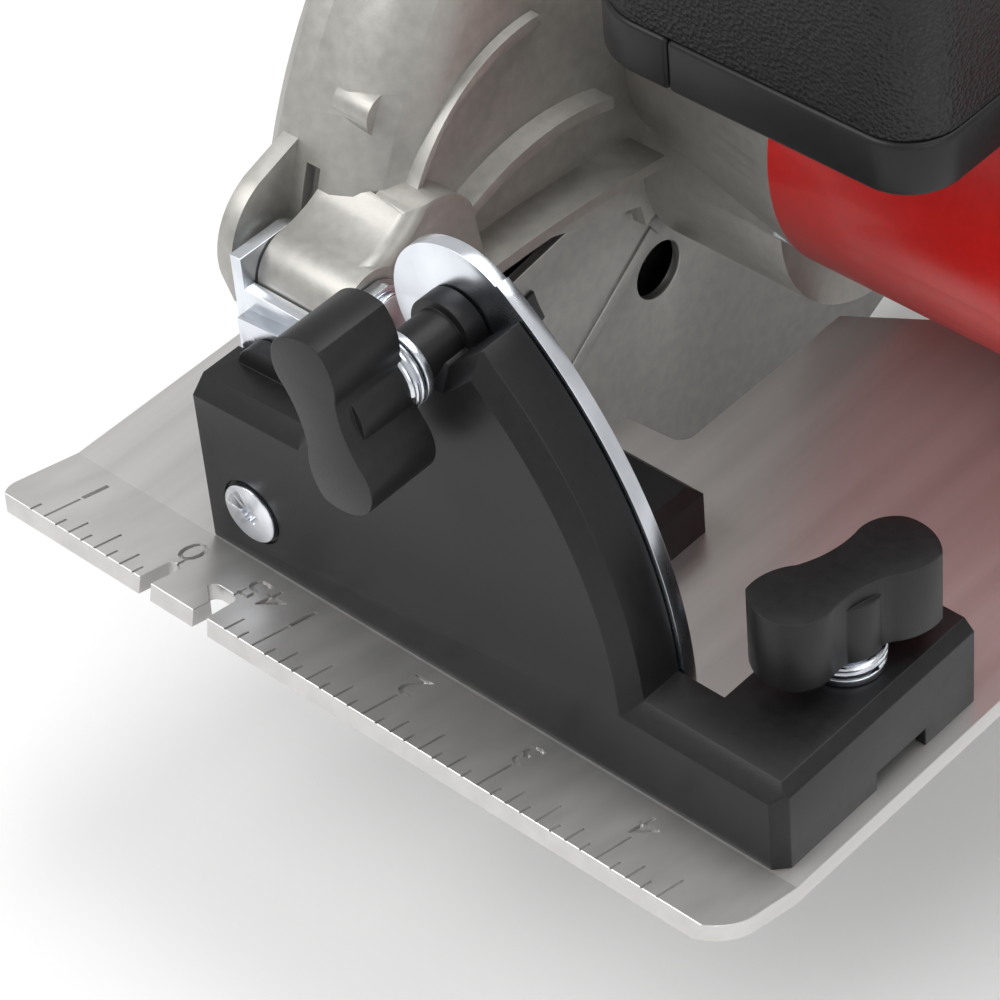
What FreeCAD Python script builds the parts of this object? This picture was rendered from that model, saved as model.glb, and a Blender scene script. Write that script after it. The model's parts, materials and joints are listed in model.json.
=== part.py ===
import FreeCAD, Part
import math
import os

# Battery circular saw with its blade on the -X side of the motor.
# Frame: millimetres, +Z up, nose towards -Y. The origin lies on the flat underside of the
# shoe, on the square-cut line (X = 0), 50 mm behind the front edge of the nose.

# ---- shoe -----------------------------------------------------------------
SHOE_THICK = 3.6
SHOE_LEFT = -36.8
SHOE_RIGHT = 127.5
NOSE_FRONT = -50.0
NOSE_BEND = -31.8
NOSE_RISE = 4.6
SHOE_REAR = 242.0
DECK = SHOE_THICK                 # height of the shoe's upper face
OPENING_LEFT = -18.0
OPENING_FRONT = 3.0
OPENING_REAR = 197.0

# ---- bevel system ----------------------------------------------------------
BEVEL_X = 8.3                     # bevel axis, parallel to Y
BEVEL_Z = DECK + 11.4
BEVEL_PIN_R = 4.0
BRACKET_FRONT = -31.5
BRACKET_BACK = -20.0
ARCH_R = 86.0
QUADRANT_FRONT = -19.7
QUADRANT_BACK = -17.0
QUADRANT_R = 86.8
SLOT_R = 72.0                     # radius of the bevel clamp slot
CLAMP_ANGLE = 53.0
CLAMP_X = BEVEL_X + SLOT_R * math.cos(math.radians(CLAMP_ANGLE))
CLAMP_Z = BEVEL_Z + SLOT_R * math.sin(math.radians(CLAMP_ANGLE))
CLAMP_SCREW_R = 3.0
FOOT_TOP = DECK + 18.0
FOOT_LEFT = 103.5
FOOT_RIGHT = 124.2
FOOT_BACK = 17.5
FENCE_Y = -1.5                    # centre of the rip-fence channel
FENCE_WIDTH = 12.4
FENCE_HEIGHT = 3.8
FENCE_SCREW_X = 113.2
GUIDE_LEFT = 44.0
GUIDE_RIGHT = 64.0

# ---- depth system ----------------------------------------------------------
KNUCKLE_Y = -6.8                  # depth axis, parallel to X
KNUCKLE_Z = DECK + 45.0
KNUCKLE_R = 7.4
KNUCKLE_LEFT = -2.1
KNUCKLE_RIGHT = 17.6
DEPTH_PIN_R = 3.0
ARM_R = 150.0                     # radius of the depth slot about the depth axis
ARM_LEFT = 13.0
ARM_RIGHT = 16.0
DEPTH_REST = -8.0                 # angle of the clamp bolt in the arm at full depth
DEPTH_TRAVEL = 35.0
BOLT_Y = KNUCKLE_Y + ARM_R * math.cos(math.radians(DEPTH_REST))
BOLT_Z = KNUCKLE_Z + ARM_R * math.sin(math.radians(DEPTH_REST))
REAR_LUG_FRONT = 198.5
REAR_LUG_BACK = 201.5

# ---- blade, guards, gears --------------------------------------------------
SPINDLE_Y = 97.0
SPINDLE_Z = DECK + 25.0
BLADE_R = 92.0
BLADE_HALF = 0.9
ARBOR_R = 7.94
TOOTH_COUNT = 24
GUARD_R = 100.0
GUARD_INNER_R = 97.5
LOWER_GUARD_R = 95.0
LOWER_GUARD_INNER_R = 93.3
NOSE_R = 16.9                     # gearcase nose that the lower guard turns on
GEAR_MODULE = 1.0
PINION_TEETH = 11
GEAR_TEETH = 39
CENTRE_DISTANCE = GEAR_MODULE * (PINION_TEETH + GEAR_TEETH) / 2
MOTOR_Y = SPINDLE_Y
MOTOR_Z = SPINDLE_Z + CENTRE_DISTANCE
MOTOR_R = 40.4
GEARCASE_LEFT = 11.5
SPLIT_X = 50.0                    # joint between gearcase and motor housing
MOTOR_END = 120.0
CAP_END = 150.0

# ---- handles and battery ---------------------------------------------------
HANDLE_X = 60.0
HANDLE_HALF = 18.0
GRIP_LEFT = 39.0
GRIP_RIGHT = 110.0
GRIP_FRONT = 22.0
GRIP_BACK = 92.0
GRIP_BOTTOM = DECK + 92.0
GRIP_SEAM = DECK + 102.0
GRIP_TOP = 140.0
GRIP_SPLIT = 60.0                 # seam between the two halves of the front grip
BATTERY_LEFT = 27.0
BATTERY_RIGHT = 93.0
BATTERY_FRONT = 148.0
BATTERY_BACK = 266.0
BATTERY_BOTTOM = 9.0
BATTERY_TOP = 68.0

GAP = 0.3                         # clearance between bodies that move past each other
RUN = 0.05                        # radial clearance of a running fit


# ---- geometry helpers ------------------------------------------------------
def vec(x, y, z):
    return FreeCAD.Vector(x, y, z)


def box(x0, x1, y0, y1, z0, z1):
    return Part.makeBox(x1 - x0, y1 - y0, z1 - z0, vec(x0, y0, z0))


def cyl_x(y, z, r, x0, x1):
    return Part.makeCylinder(r, x1 - x0, vec(x0, y, z), vec(1, 0, 0))


def cyl_y(x, z, r, y0, y1):
    return Part.makeCylinder(r, y1 - y0, vec(x, y0, z), vec(0, 1, 0))


def cyl_z(x, y, r, z0, z1):
    return Part.makeCylinder(r, z1 - z0, vec(x, y, z0), vec(0, 0, 1))


def tube_x(y, z, r_in, r_out, x0, x1):
    return cyl_x(y, z, r_out, x0, x1).cut(cyl_x(y, z, r_in, x0 - 1, x1 + 1))


def outline(points, place):
    """Closed wire through points; a (mid, end) pair of points makes an arc to end."""
    edges = []
    start = points[0]
    for item in points[1:]:
        if isinstance(item[0], tuple):
            middle, end = item
            edges.append(Part.Arc(place(*start), place(*middle), place(*end)).toShape())
        else:
            end = item
            edges.append(Part.LineSegment(place(*start), place(*end)).toShape())
        start = end
    if start != points[0]:
        edges.append(Part.LineSegment(place(*start), place(*points[0])).toShape())
    return Part.Wire(edges)


def plate_x(points, x0, x1):
    wire = outline(points, lambda y, z: vec(x0, y, z))
    return Part.Face(wire).extrude(vec(x1 - x0, 0, 0))


def plate_y(points, y0, y1):
    wire = outline(points, lambda x, z: vec(x, y0, z))
    return Part.Face(wire).extrude(vec(0, y1 - y0, 0))


def plate_z(points, z0, z1):
    wire = outline(points, lambda x, y: vec(x, y, z0))
    return Part.Face(wire).extrude(vec(0, 0, z1 - z0))


def polar(a, b, r, degrees):
    angle = math.radians(degrees)
    return (a + r * math.cos(angle), b + r * math.sin(angle))


def sector(a, b, r_in, r_out, start, end):
    """Outline of a ring segment about (a, b), angles in degrees."""
    middle = (start + end) / 2
    return [polar(a, b, r_in, start), polar(a, b, r_out, start),
            (polar(a, b, r_out, middle), polar(a, b, r_out, end)),
            polar(a, b, r_in, end)], (polar(a, b, r_in, middle), polar(a, b, r_in, start))


def sector_plate(extrude, a, b, r_in, r_out, start, end, low, high):
    points, closing = sector(a, b, r_in, r_out, start, end)
    return extrude_closed(extrude, points, closing, low, high)


def extrude_closed(extrude, points, closing, low, high):
    """Plate whose last side, back to the first point, is an arc."""
    edges = []
    place = {plate_x: lambda p, q: vec(low, p, q), plate_y: lambda p, q: vec(p, low, q)}[extrude]
    start = points[0]
    for item in points[1:] + [closing]:
        if isinstance(item[0], tuple):
            middle, end = item
            edges.append(Part.Arc(place(*start), place(*middle), place(*end)).toShape())
        else:
            end = item
            edges.append(Part.LineSegment(place(*start), place(*end)).toShape())
        start = end
    depth = vec(high - low, 0, 0) if extrude is plate_x else vec(0, high - low, 0)
    return Part.Face(Part.Wire(edges)).extrude(depth)


def arc_slot(extrude, a, b, radius, half, start, end, low, high):
    """Curved slot with round ends about (a, b)."""
    body = sector_plate(extrude, a, b, radius - half, radius + half, start, end, low, high)
    round_end = cyl_x if extrude is plate_x else cyl_y
    for angle in (start, end):
        body = body.fuse(round_end(*polar(a, b, radius, angle), half, low, high))
    return body


def turned_x(profile, start, end):
    """Body turned about the spindle axis from a list of (x, radius), angles from +Y up."""
    points = [vec(x, SPINDLE_Y + r, SPINDLE_Z) for x, r in profile]
    face = Part.Face(Part.makePolygon(points + [points[0]]))
    axis_point = vec(0, SPINDLE_Y, SPINDLE_Z)
    face.rotate(axis_point, vec(1, 0, 0), start)
    return face.revolve(axis_point, vec(1, 0, 0), end - start)


def softened(shape, radius, wanted):
    """Fillet the edges for which wanted(edge) is true."""
    edges = [edge for edge in shape.Edges if wanted(edge)]
    return shape.makeFillet(radius, edges) if edges else shape


def along(edge, axis):
    ends = [vertex.Point for vertex in edge.Vertexes]
    if len(ends) < 2:
        return False
    direction = (ends[1] - ends[0]).normalize()
    return abs(getattr(direction, axis)) > 0.999


def union(shapes):
    result = shapes[0]
    for shape in shapes[1:]:
        result = result.fuse(shape)
    return result.removeSplitter()


def group(shapes):
    """Separate pieces kept together, such as a set of screws."""
    solids = []
    for shape in shapes:
        solids.extend(shape.Solids)
    return Part.makeCompound(solids)


# ---- shoe and brackets -------------------------------------------------------
def nose_slope():
    return NOSE_RISE / (NOSE_BEND - NOSE_FRONT)


def shoe_blank():
    """Plate with its nose bent up, as one profile drawn across the saw."""
    slope = nose_slope()
    length = math.hypot(1, slope)
    front_drop = (NOSE_FRONT - SHOE_THICK * slope / length,
                  DECK + NOSE_RISE - SHOE_THICK / length)
    bend_under = front_drop[0] + front_drop[1] / slope
    profile = [(SHOE_REAR, 0), (SHOE_REAR, DECK), (NOSE_BEND, DECK),
               (NOSE_FRONT, DECK + NOSE_RISE), front_drop, (bend_under, 0)]
    return plate_x(profile, SHOE_LEFT, SHOE_RIGHT)


def shoe_plan():
    """Outline seen from above, with its rounded corners."""
    front = NOSE_FRONT - 2
    left_r = 6.0
    right_r = 10.0
    rear_r = 14.0
    bite = 1 - math.sqrt(0.5)
    return [(SHOE_LEFT, front + left_r),
            ((SHOE_LEFT + left_r * bite, front + left_r * bite), (SHOE_LEFT + left_r, front)),
            (SHOE_RIGHT - right_r, front),
            ((SHOE_RIGHT - right_r * bite, front + right_r * bite), (SHOE_RIGHT, front + right_r)),
            (SHOE_RIGHT, SHOE_REAR - rear_r),
            ((SHOE_RIGHT - rear_r * bite, SHOE_REAR - rear_r * bite),
             (SHOE_RIGHT - rear_r, SHOE_REAR)),
            (SHOE_LEFT + rear_r, SHOE_REAR),
            ((SHOE_LEFT + rear_r * bite, SHOE_REAR - rear_r * bite),
             (SHOE_LEFT, SHOE_REAR - rear_r))]


def sight_notches():
    """Notches in the nose for the square cut and for the 45 degree cut."""
    front = NOSE_FRONT - 3
    square = plate_z([(-1.3, front), (-1.3, NOSE_FRONT + 6.2),
                      ((0, NOSE_FRONT + 7.5), (1.3, NOSE_FRONT + 6.2)), (1.3, front)], -1, 12)
    slanted = plate_z([(11.6, front), (11.6, NOSE_FRONT + 3.8), (8.0, NOSE_FRONT + 6.8),
                       ((8.6, NOSE_FRONT + 8.1), (9.8, NOSE_FRONT + 8.4)),
                       (12.0, NOSE_FRONT + 8.4),
                       ((13.6, NOSE_FRONT + 7.8), (14.2, NOSE_FRONT + 6.4)),
                       (14.6, NOSE_FRONT + 0.8), (16.0, front)], -1, 12)
    return square.fuse(slanted)


def shoe_opening():
    """Way through the shoe for blade, lower guard and gearcase."""
    narrow = 33.0
    wide = 46.5
    widest = 63.0
    points = [(OPENING_LEFT, OPENING_FRONT), (narrow, OPENING_FRONT), (narrow, 32.0),
              ((33.9, 34.1), (36.0, 35.0)), (43.5, 35.5), ((45.6, 36.4), (wide, 38.5)),
              (wide, 79.0), (widest, 90.0), (widest, 150.0), (narrow, 158.0),
              (narrow, OPENING_REAR), (OPENING_LEFT, OPENING_REAR)]
    return plate_z(points, -1, DECK + 1)


def make_shoe():
    plan = plate_z(shoe_plan(), -1, 12)
    shape = shoe_blank().common(plan).cut(sight_notches()).cut(shoe_opening())
    for x, y in RIVET_SPOTS:
        shape = shape.cut(cyl_z(x, y, RIVET_R + RUN, -1, DECK + 1))
    return shape


RIVET_R = 2.5
RIVET_SPOTS = [(3.0, -26.0), (76.0, -26.0), (113.0, -26.0), (113.0, 12.0),
               (54.0, -10.8), (54.0, 13.0), (26.0, 216.0), (-7.0, 216.0)]


def make_shoe_rivets():
    """Countersunk rivets that hold the brackets down, their heads flush under the shoe."""
    rivets = []
    for x, y in RIVET_SPOTS:
        rivets.append(cyl_z(x, y, RIVET_R, 0.2, DECK + 2.2))
    return group(rivets)


def rivet_holes(shape):
    for x, y in RIVET_SPOTS:
        shape = shape.cut(cyl_z(x, y, RIVET_R + RUN, 0, DECK + 2.5))
    return shape


def bracket_face():
    """Outline of the front bracket across the saw, from the deck up."""
    arch_bottom = math.degrees(math.asin((FOOT_TOP - BEVEL_Z) / ARCH_R))
    arch_top = 48.7
    middle = (arch_bottom + arch_top) / 2
    arch_end = polar(BEVEL_X, BEVEL_Z, ARCH_R, arch_top)
    return [(-2.5, DECK), (-2.5, DECK + 35.3), (21.0, DECK + 36.5), (CLAMP_X - 8.0, CLAMP_Z - 3.0),
            (CLAMP_X - 3.0, CLAMP_Z + 1.0), (CLAMP_X + 6.0, CLAMP_Z), arch_end,
            (polar(BEVEL_X, BEVEL_Z, ARCH_R, middle),
             polar(BEVEL_X, BEVEL_Z, ARCH_R, arch_bottom)),
            (FOOT_RIGHT, FOOT_TOP), (FOOT_RIGHT, DECK)]


def fence_channel():
    return box(GUIDE_LEFT - 1, FOOT_RIGHT + 2, FENCE_Y - FENCE_WIDTH / 2, FENCE_Y + FENCE_WIDTH / 2,
               DECK - 1, DECK + FENCE_HEIGHT)


def make_front_bracket():
    body = plate_y(bracket_face(), BRACKET_FRONT, BRACKET_BACK)
    foot = box(FOOT_LEFT, FOOT_RIGHT, BRACKET_FRONT, FOOT_BACK, DECK, FOOT_TOP)
    body = body.fuse(foot).removeSplitter()
    front_edges = [edge for edge in body.Edges
                   if all(abs(v.Point.y - BRACKET_FRONT) < 0.01 for v in edge.Vertexes)
                   and edge.BoundBox.ZMax > DECK + 10 and not is_side(edge)]
    body = body.makeChamfer(3.0, front_edges)
    side_edges = [edge for edge in body.Edges
                  if along(edge, "y") and abs(edge.BoundBox.XMin - FOOT_RIGHT) < 0.01
                  and edge.BoundBox.ZMin > FOOT_TOP - 0.1]
    body = body.makeChamfer(2.0, side_edges)
    wedge = [(FOOT_RIGHT - 3.2, BRACKET_FRONT - 1), (FOOT_RIGHT + 1, BRACKET_FRONT - 1),
             (FOOT_RIGHT + 1, BRACKET_FRONT + 3.4)]
    body = body.cut(plate_z(wedge, DECK - 1, FOOT_TOP + 1))
    sleeve = cyl_y(CLAMP_X, CLAMP_Z, 5.0, BRACKET_FRONT - 1.0, BRACKET_BACK)
    collar = cyl_y(CLAMP_X, CLAMP_Z, 6.6, BRACKET_BACK - 4.0, BRACKET_BACK)
    hump = softened(box(0.5, 20.0, BRACKET_BACK - 3.2, BRACKET_BACK, DECK + 20, DECK + 40.5), 6.0,
                    lambda e: along(e, "y") and e.BoundBox.ZMin > DECK + 40)
    body = union([body, sleeve, collar, hump])
    body = body.cut(fence_channel())
    body = body.cut(cyl_y(BEVEL_X, BEVEL_Z, BEVEL_PIN_R + RUN, BRACKET_FRONT - 1, BRACKET_BACK + 1))
    body = body.cut(cyl_y(BEVEL_X, BEVEL_Z, 6.4, BRACKET_FRONT - 1, BRACKET_FRONT + 0.6))
    body = body.cut(cyl_y(CLAMP_X, CLAMP_Z, CLAMP_SCREW_R + RUN, BRACKET_FRONT - 3, BRACKET_BACK + 1))
    body = body.cut(cyl_z(FENCE_SCREW_X, FENCE_Y, CLAMP_SCREW_R + RUN, DECK, FOOT_TOP + 1))
    return rivet_holes(body)


def is_side(edge):
    return along(edge, "z") or edge.BoundBox.ZMax < DECK + 0.1


def make_fence_guide():
    """Second guide for the rip fence, behind the bevel quadrant."""
    body = box(GUIDE_LEFT, GUIDE_RIGHT, -14.0, 21.0, DECK, DECK + 11.0)
    body = body.makeChamfer(2.0, [edge for edge in body.Edges if edge.BoundBox.ZMin > DECK + 10.9])
    return rivet_holes(body.cut(fence_channel()))


def make_rear_bracket():
    """Upright lug at the back of the shoe that carries the rear bevel pin."""
    front = REAR_LUG_BACK + GAP
    base = box(-13.0, 32.0, front, 222.0, DECK, DECK + 3.5)
    upright = box(BEVEL_X - 9.5, BEVEL_X + 9.5, front, front + 6.0, DECK + 1, BEVEL_Z)
    body = union([base, upright, cyl_y(BEVEL_X, BEVEL_Z, 9.5, front, front + 6.0)])
    body = body.cut(cyl_y(BEVEL_X, BEVEL_Z, BEVEL_PIN_R + RUN, 190, 230))
    return rivet_holes(body)


def make_front_pivot_pin():
    head = cyl_y(BEVEL_X, BEVEL_Z, 5.8, BRACKET_FRONT - 0.7, BRACKET_FRONT + 0.6)
    shank = cyl_y(BEVEL_X, BEVEL_Z, BEVEL_PIN_R, BRACKET_FRONT, QUADRANT_BACK + 3)
    tail = cyl_y(BEVEL_X, BEVEL_Z, 6.0, QUADRANT_BACK + GAP, QUADRANT_BACK + 2.6)
    return union([head, shank, tail])


def make_rear_pivot_pin():
    tail_start = REAR_LUG_BACK + GAP + 6.0
    shank = cyl_y(BEVEL_X, BEVEL_Z, BEVEL_PIN_R, REAR_LUG_FRONT - 0.3, tail_start + 2.0)
    tail = cyl_y(BEVEL_X, BEVEL_Z, 6.0, tail_start, tail_start + 2.0)
    return union([shank, tail])


# ---- wing knobs ----------------------------------------------------------------
WING_HALF = 22.0                  # tip of a wing from the knob's axis
WING_DEPTH = 14.5
KNOB_BACK = BRACKET_FRONT - 5.0
FENCE_KNOB_BOTTOM = FOOT_TOP + 5.0
FENCE_KNOB_TURN = 70.0


def wing_outline():
    """Two thick rounded lobes with hollow flanks between them, the same after half a turn."""
    half = [((0.5, -16.4), (5.2, -14.8)), ((7.4, -10.6), (6.4, -5.8)), ((4.9, 0.0), (5.1, 5.8)),
            ((6.0, 10.6), (4.7, 15.1))]
    other = [tuple((-x, -y) for x, y in pair) for pair in half]
    return [(-4.7, -15.1)] + half + other


def wing_knob():
    """Knob along +Z from its hub face at the origin, with its wings along Y."""
    wire = outline(wing_outline(), lambda x, y: vec(x, y, 0))
    wings = Part.Face(wire).extrude(vec(0, 0, WING_DEPTH))
    hub = cyl_z(0, 0, 6.2, 0, WING_DEPTH - 3)
    return union([wings, hub])


def make_bevel_knob():
    knob = wing_knob()
    knob.rotate(vec(0, 0, 0), vec(0, 0, 1), 12)
    knob.rotate(vec(0, 0, 0), vec(1, 0, 0), 90)
    knob.translate(vec(CLAMP_X, KNOB_BACK, CLAMP_Z))
    bore = cyl_y(CLAMP_X, CLAMP_Z, CLAMP_SCREW_R + RUN, KNOB_BACK - 10, KNOB_BACK + 1)
    return knob.cut(bore)


def make_bevel_screw():
    collar = cyl_y(CLAMP_X, CLAMP_Z, 5.2, KNOB_BACK, BRACKET_FRONT - 2.8)
    stud = cyl_y(CLAMP_X, CLAMP_Z, CLAMP_SCREW_R, KNOB_BACK - 9.5, QUADRANT_BACK + 6)
    return union([collar, stud])


def make_bevel_washer():
    ring = cyl_y(CLAMP_X, CLAMP_Z, 6.6, BRACKET_FRONT - 2.5, BRACKET_FRONT - 1.1)
    return ring.cut(cyl_y(CLAMP_X, CLAMP_Z, CLAMP_SCREW_R + 0.3, BRACKET_FRONT - 4, BRACKET_FRONT))


def make_bevel_nut():
    """Square nut behind the quadrant."""
    nut = box(CLAMP_X - 5, CLAMP_X + 5, QUADRANT_BACK + GAP, QUADRANT_BACK + 5, CLAMP_Z - 5, CLAMP_Z + 5)
    return nut.cut(cyl_y(CLAMP_X, CLAMP_Z, CLAMP_SCREW_R + RUN, QUADRANT_BACK - 1, QUADRANT_BACK + 8))


def make_fence_knob():
    knob = wing_knob()
    knob.rotate(vec(0, 0, 0), vec(0, 0, 1), FENCE_KNOB_TURN - 90)
    knob.translate(vec(FENCE_SCREW_X, FENCE_Y, FENCE_KNOB_BOTTOM))
    bore = cyl_z(FENCE_SCREW_X, FENCE_Y, CLAMP_SCREW_R + RUN, FENCE_KNOB_BOTTOM - 1, FENCE_KNOB_BOTTOM + 10)
    return knob.cut(bore)


def make_fence_screw():
    collar = cyl_z(FENCE_SCREW_X, FENCE_Y, 5.2, FOOT_TOP + 1.8, FENCE_KNOB_BOTTOM)
    stud = cyl_z(FENCE_SCREW_X, FENCE_Y, CLAMP_SCREW_R, DECK + FENCE_HEIGHT + 0.2, FENCE_KNOB_BOTTOM + 9.5)
    return union([collar, stud])


def make_fence_washer():
    ring = cyl_z(FENCE_SCREW_X, FENCE_Y, 6.6, FOOT_TOP + 0.1, FOOT_TOP + 1.5)
    return ring.cut(cyl_z(FENCE_SCREW_X, FENCE_Y, CLAMP_SCREW_R + 0.3, FOOT_TOP - 1, FOOT_TOP + 3))


# ---- tilting frame ---------------------------------------------------------------
EAR_LEFT = -5.0
EAR_RIGHT = 20.5
SHEET = 2.5


def quadrant_sheet():
    """Quarter band round the bevel pin, joined to its hub by one web."""
    band = sector_plate(plate_y, BEVEL_X, BEVEL_Z, 57.0, QUADRANT_R, -3, CLAMP_ANGLE,
                        QUADRANT_FRONT, QUADRANT_BACK)
    end_disc = cyl_y(CLAMP_X, CLAMP_Z, QUADRANT_R - SLOT_R - 0.6, QUADRANT_FRONT, QUADRANT_BACK)
    hub = cyl_y(BEVEL_X, BEVEL_Z, 10.5, QUADRANT_FRONT, QUADRANT_BACK)
    web = plate_y([(-2.2, BEVEL_Z), (-2.2, 45.0), (EAR_RIGHT, 47.0), (47.0, 60.0), (67.0, 33.0),
                   (68.0, BEVEL_Z - 2.5), (BEVEL_X, BEVEL_Z - 10.0)], QUADRANT_FRONT, QUADRANT_BACK)
    return union([band, end_disc, hub, web])


def make_bevel_quadrant():
    """Flat quadrant with the slot for the bevel clamp."""
    sheet = quadrant_sheet()
    slot = arc_slot(plate_y, BEVEL_X, BEVEL_Z, SLOT_R, CLAMP_SCREW_R + GAP, 2.0, CLAMP_ANGLE,
                    QUADRANT_FRONT - 1, QUADRANT_BACK + 1)
    window = sector_plate(plate_y, BEVEL_X, BEVEL_Z, 28.0, 56.0, 8, 36,
                          QUADRANT_FRONT - 1, QUADRANT_BACK + 1)
    sheet = sheet.cut(slot).cut(window)
    for x, z in SHEET_RIVETS:
        sheet = sheet.cut(cyl_y(x, z, 2.0 + RUN, QUADRANT_FRONT - 1, QUADRANT_BACK + 1))
    return sheet.cut(cyl_y(BEVEL_X, BEVEL_Z, BEVEL_PIN_R + RUN, QUADRANT_FRONT - 1, QUADRANT_BACK + 1))


SHEET_RIVETS = [(1.5, 33.0), (14.5, 33.0)]


def make_knuckle_bracket():
    """Bent sheet behind the quadrant: a web with two ears for the depth pin."""
    web_back = QUADRANT_BACK + SHEET
    web = box(EAR_LEFT, EAR_RIGHT, QUADRANT_BACK, web_back, DECK + 23.0, DECK + 45.5)
    left = ear(EAR_LEFT, DECK + 52.0)
    right = ear(EAR_RIGHT - SHEET, DECK + 50.5)
    body = union([web, left, right])
    body = body.cut(cyl_x(KNUCKLE_Y, KNUCKLE_Z, DEPTH_PIN_R + RUN, EAR_LEFT - 1, EAR_RIGHT + 1))
    for x, z in SHEET_RIVETS:
        body = body.cut(cyl_y(x, z, 2.0 + RUN, QUADRANT_BACK - 1, web_back + 1))
    return body


def ear(x0, top):
    """One ear, rounded at its free end about the depth pin."""
    low = KNUCKLE_Z - 7.0
    back = KNUCKLE_Y + 7.0
    points = [(QUADRANT_BACK, low - 6.0), (QUADRANT_BACK, top), (KNUCKLE_Y + 1.0, top),
              ((back - 1.5, top - 3.0), (back, KNUCKLE_Z)), ((back - 2.5, low + 1.5), (KNUCKLE_Y, low))]
    return plate_x(points, x0, x0 + SHEET)


def make_sheet_rivets():
    rivets = []
    for x, z in SHEET_RIVETS:
        rivets.append(cyl_y(x, z, 2.0, QUADRANT_FRONT + 0.2, QUADRANT_BACK + SHEET + 0.8))
    return group(rivets)


def make_depth_pin():
    shank = cyl_x(KNUCKLE_Y, KNUCKLE_Z, DEPTH_PIN_R, EAR_LEFT - 1.4, EAR_RIGHT + 1.4)
    left = cyl_x(KNUCKLE_Y, KNUCKLE_Z, 4.6, EAR_LEFT - 1.4, EAR_LEFT)
    right = cyl_x(KNUCKLE_Y, KNUCKLE_Z, 4.6, EAR_RIGHT, EAR_RIGHT + 1.4)
    return union([shank, left, right])


def make_depth_arm():
    """Curved steel arm beside the guard, with its foot on the rear bevel pin."""
    top = DEPTH_REST + DEPTH_TRAVEL
    half = 8.0
    low = DEPTH_REST - 6
    band = sector_plate(plate_x, KNUCKLE_Y, KNUCKLE_Z, ARM_R - half, ARM_R + half, low, top,
                        ARM_LEFT, ARM_RIGHT)
    tip = cyl_x(*polar(KNUCKLE_Y, KNUCKLE_Z, ARM_R, top), half, ARM_LEFT, ARM_RIGHT)
    foot = plate_x([polar(KNUCKLE_Y, KNUCKLE_Z, ARM_R - half, low), (150.0, 7.0), (REAR_LUG_BACK, 7.0),
                    (REAR_LUG_BACK, 23.0), (160.0, 23.0),
                    polar(KNUCKLE_Y, KNUCKLE_Z, ARM_R + half, low + 3)], ARM_LEFT, ARM_RIGHT)
    lug = cyl_y(BEVEL_X, BEVEL_Z, 9.5, REAR_LUG_FRONT, REAR_LUG_BACK)
    bridge = box(BEVEL_X, ARM_RIGHT, REAR_LUG_FRONT, REAR_LUG_BACK, BEVEL_Z, 23.0)
    body = union([band, tip, foot, lug, bridge])
    slot = arc_slot(plate_x, KNUCKLE_Y, KNUCKLE_Z, ARM_R, CLAMP_SCREW_R + GAP, DEPTH_REST, top,
                    ARM_LEFT - 1, ARM_RIGHT + 1)
    return body.cut(slot).cut(cyl_y(BEVEL_X, BEVEL_Z, BEVEL_PIN_R + RUN, 190, 230))


# ---- guards ----------------------------------------------------------------------
def wall_lower_edge():
    """Region of the guard wall, bounded below by a line that dips around the spindle."""
    reach = GUARD_R + 5
    return [(SPINDLE_Y - reach, 38.0), (19.0, 35.0), (43.0, 28.0), (66.0, 20.0), (70.0, 0.0),
            (124.0, 0.0), (130.0, 24.0), (165.0, 33.0), (SPINDLE_Y + reach, 33.0),
            (SPINDLE_Y + reach, 140.0), (SPINDLE_Y - reach, 140.0)]


def guard_fin(start, middle, end, thick, x0, x1):
    """Curved cooling fin on the motor side of the guard."""
    inner = [(p[0], p[1] - thick) for p in (start, middle, end)]
    points = [start, (middle, end), inner[2], (inner[1], inner[0])]
    return plate_x(points, x0, x1)


FINS = [((6.0, 49.0), (15.0, 68.0), (42.0, 78.0), 9.0, 13.5),
        ((10.0, 47.0), (32.0, 55.5), (56.0, 53.0), 11.0, 16.0),
        ((15.5, 41.0), (38.0, 40.2), (64.0, 37.0), 11.0, 20.0)]


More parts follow.
